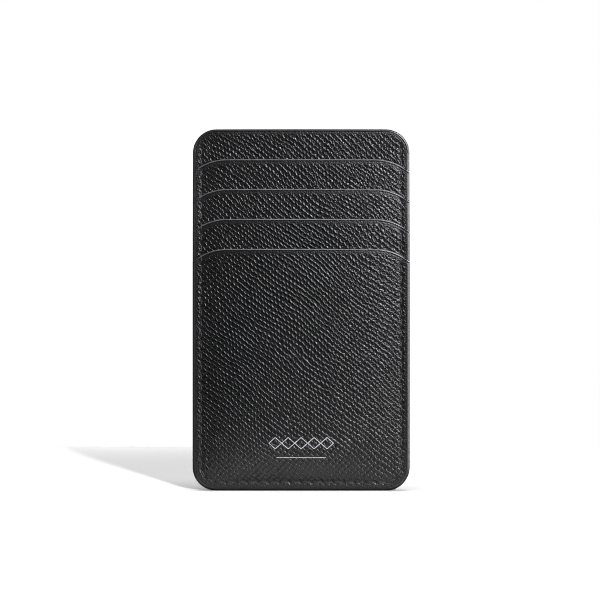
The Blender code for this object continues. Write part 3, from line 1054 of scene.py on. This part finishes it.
def foil_material():
    """Hot-stamped silver foil, thinner in places."""
    made, tree, shader = new_material("silver_foil", (0.57, 0.57, 0.59), 0.32, metallic=1.0)
    wear = noise_field(tree, 3.0, detail=4.0)
    tint(tree, shader, ramp(tree, wear, 0.35, 0.6, 0.0, 1.0), (0.39, 0.39, 0.405), (0.66, 0.66, 0.68))
    tree.links.new(ramp(tree, wear, 0.3, 0.7, 0.56, 0.48), shader.inputs["Roughness"])
    add_bump(tree, shader, wear, 0.01 * MM)
    return made


# ---------------------------------------------------------------- the object


def add_walls(leather, lining, board):
    """Every leather wall with its lining, from the back to the front. Returns the linings by node."""
    grained = (leather, "saffiano_leather")
    linings = {}
    sheet("back_panel", round_low, round_high, *grained, BACK_STEP, full_relief, outwards=1)
    sheet("back_stiffener", inset_edge(round_low, 1), inset_edge(round_high, -1), board, "bonded_board")
    for node in ("back_lining", "divider_lining"):
        linings[node] = sheet(node, round_low, round_high, lining, "lining")
    strip_from = MOUTH_Z[-1] - STRIP_BELOW_MOUTH
    sheet("divider_panel", round_low, round_high, *grained, FINE_STEP, full_relief, fine_from=strip_from)
    for slot in (1, 2, 3):
        mouth_z = MOUTH_Z[4 - slot]
        high = mouth_high(mouth_z)
        facing, node = f"slot_{slot}_facing", f"slot_{slot}_lining"
        sheet(facing, flat_low(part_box(facing)[0].z), high, *grained, FINE_STEP, slot_relief(slot))
        stem = stem_low(mouth_z - WING_HEIGHT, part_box(node)[0].z, STEM_HALF)
        linings[node] = sheet(node, stem, high, lining, "lining")
    high = mouth_high(MOUTH_Z[0])
    linings["front_lining"] = sheet("front_lining", round_low, high, lining, "lining")
    sheet("front_panel", round_low, high, *grained, FINE_STEP, front_relief)
    return linings


def inset_edge(edge, inwards):
    """An edge of the board, which is cut smaller than the wall it lies in."""
    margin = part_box("back_stiffener")[0].z - PAINT

    def moved(x, inset):
        return edge(x * (HALF - margin) / HALF, inset) + inwards * margin

    return moved


def add_holder():
    """Every piece of the card holder."""
    leather, lining, thread = leather_material(), lining_material(), thread_material()
    # painted highlight: the mouths' edge paint is a lighter grey copy of the black edge paint, standing in
    # for light caught on the mouth edges
    highlight_grey_paint = paint_material("edge_paint_grey_highlight", (0.052, 0.052, 0.055), (0.092, 0.092, 0.096))
    black_paint = paint_material("edge_paint_black", (0.014, 0.014, 0.0148), (0.024, 0.024, 0.0255))
    linings = add_walls(leather, lining, board_material())
    add_rim(black_paint)
    add_top_paint(black_paint)
    add_mouth_paint(highlight_grey_paint)
    add_stitches("front_stitches", "needle_thread", -1, thread)
    add_stitches("back_stitches", "bobbin_thread", 1, thread)
    add_pocket_seams(thread)
    add_foil(foil_material())


# ---------------------------------------------------------------- the set


def add_floor():
    """A pale floor that ends a little way behind the object."""
    mesh = bpy.data.meshes.new("floor")
    corners = [(-FLOOR_HALF, -FLOOR_HALF, 0), (FLOOR_HALF, -FLOOR_HALF, 0)]
    corners += [(FLOOR_HALF, FLOOR_BACK, 0), (-FLOOR_HALF, FLOOR_BACK, 0)]
    mesh.from_pydata(corners, [], [(0, 1, 2, 3)])
    finish, _, _ = new_material("pale_floor", (0.92, 0.92, 0.92), 0.95)
    mesh.materials.append(finish)
    floor = bpy.data.objects.new("floor", mesh)
    floor.visible_glossy = False
    bpy.context.scene.collection.objects.link(floor)
    return floor


def add_light(name, kind, azimuth, elevation, distance, energy, size, aim=(0.0, 0.0, 0.056)):
    """A light seen from its aim at an azimuth to the right of the camera and an elevation, in degrees.

    energy is in watts, or in W/m2 for a sun. size is a diameter in metres, or a sun's angle in degrees.
    """
    light = bpy.data.lights.new(name, kind)
    light.energy = energy
    if kind == "SUN":
        light.angle = math.radians(size)
    else:
        light.shape = "DISK"
        light.size = size
    made = bpy.data.objects.new(name, light)
    turn, rise = math.radians(azimuth), math.radians(elevation)
    towards = (math.sin(turn) * math.cos(rise), -math.cos(turn) * math.cos(rise), math.sin(rise))
    made.location = [centre + distance * part for centre, part in zip(aim, towards)]
    made.rotation_euler = (math.pi / 2 - rise, 0.0, turn)
    bpy.context.scene.collection.objects.link(made)
    return made


def limit_light(light, floor, floor_only):
    """Lights the floor alone, or everything but the floor."""
    group = bpy.data.collections.new(f"{light.name}_receivers")
    group.objects.link(floor)
    group.collection_objects[0].light_linking.link_state = "INCLUDE" if floor_only else "EXCLUDE"
    light.light_linking.receiver_collection = group


def add_lights(floor):
    """The sun makes the long shadow, the glint makes the grain's highlights, and the rest fill in."""
    key = add_light("key", "SUN", 12.6, 15.0, 2.0, 4.8, 2.5)
    limit_light(key, floor, True)
    glint = add_light("glint", "AREA", 35.0, 30.0, 0.8, 13.0, 0.16)
    glint.data.color = (0.97, 0.955, 1.0)
    limit_light(glint, floor, False)
    side = add_light("side", "AREA", 74.0, 10.0, 0.7, 7.5, 0.5)
    limit_light(side, floor, False)
    fill = add_light("fill", "AREA", -55.0, 15.0, 0.8, 1.4, 0.6)
    limit_light(fill, floor, False)
    over = add_light("overhead", "AREA", 0.0, 84.0, 1.3, 18.8, 1.2)
    over.visible_glossy = False
    far = add_light("far_floor", "AREA", 0.0, 90.0, 0.13, 0.068, 0.08, aim=(-0.07, 0.34, 0.0))
    far.visible_camera = False
    limit_light(far, floor, True)
    back = add_light("back", "AREA", 160.0, 30.0, 0.9, 20.0, 0.5)
    limit_light(back, floor, False)
    add_card()


def add_card():
    """A glowing rectangle on the floor in front of the object, which lights its lower part from below."""
    card = add_light("card", "AREA", 0.0, 0.0, 0.0215, 0.018, 0.04, aim=(0.0, 0.0, 0.0001))
    card.rotation_euler = (math.pi, 0.0, 0.0)
    card.data.shape = "RECTANGLE"
    card.data.size = 0.075
    card.data.size_y = 0.037
    card.visible_camera = False


def add_world():
    """White behind the object, a dim white room round it, and how the picture is developed."""
    world = bpy.data.worlds.new("studio")
    world.use_nodes = True
    tree = world.node_tree
    background = tree.nodes["Background"]
    background.inputs["Color"].default_value = (1.0, 1.0, 1.0, 1.0)
    seen = add_node(tree, "ShaderNodeLightPath").outputs["Is Camera Ray"]
    tree.links.new(ramp(tree, seen, 0.0, 1.0, ROOM_STRENGTH, 1.0), background.inputs["Strength"])
    bpy.context.scene.world = world
    bpy.context.scene.view_settings.view_transform = "Standard"
    bpy.context.scene.view_settings.gamma = VIEW_GAMMA
    bpy.context.scene.cycles.filter_width = PIXEL_FILTER


def add_camera():
    """A camera square on to the front."""
    camera = bpy.data.cameras.new("camera")
    camera.sensor_width = SENSOR
    camera.lens = SENSOR * CAMERA_DISTANCE / FIELD
    camera.clip_end = 20.0
    made = bpy.data.objects.new("camera", camera)
    made.location = (CAMERA_X, -CAMERA_DISTANCE, CAMERA_HEIGHT)
    made.rotation_euler = (math.pi / 2, 0.0, 0.0)
    bpy.context.scene.collection.objects.link(made)
    bpy.context.scene.camera = made


add_camera()
add_holder()
add_lights(add_floor())
add_world()
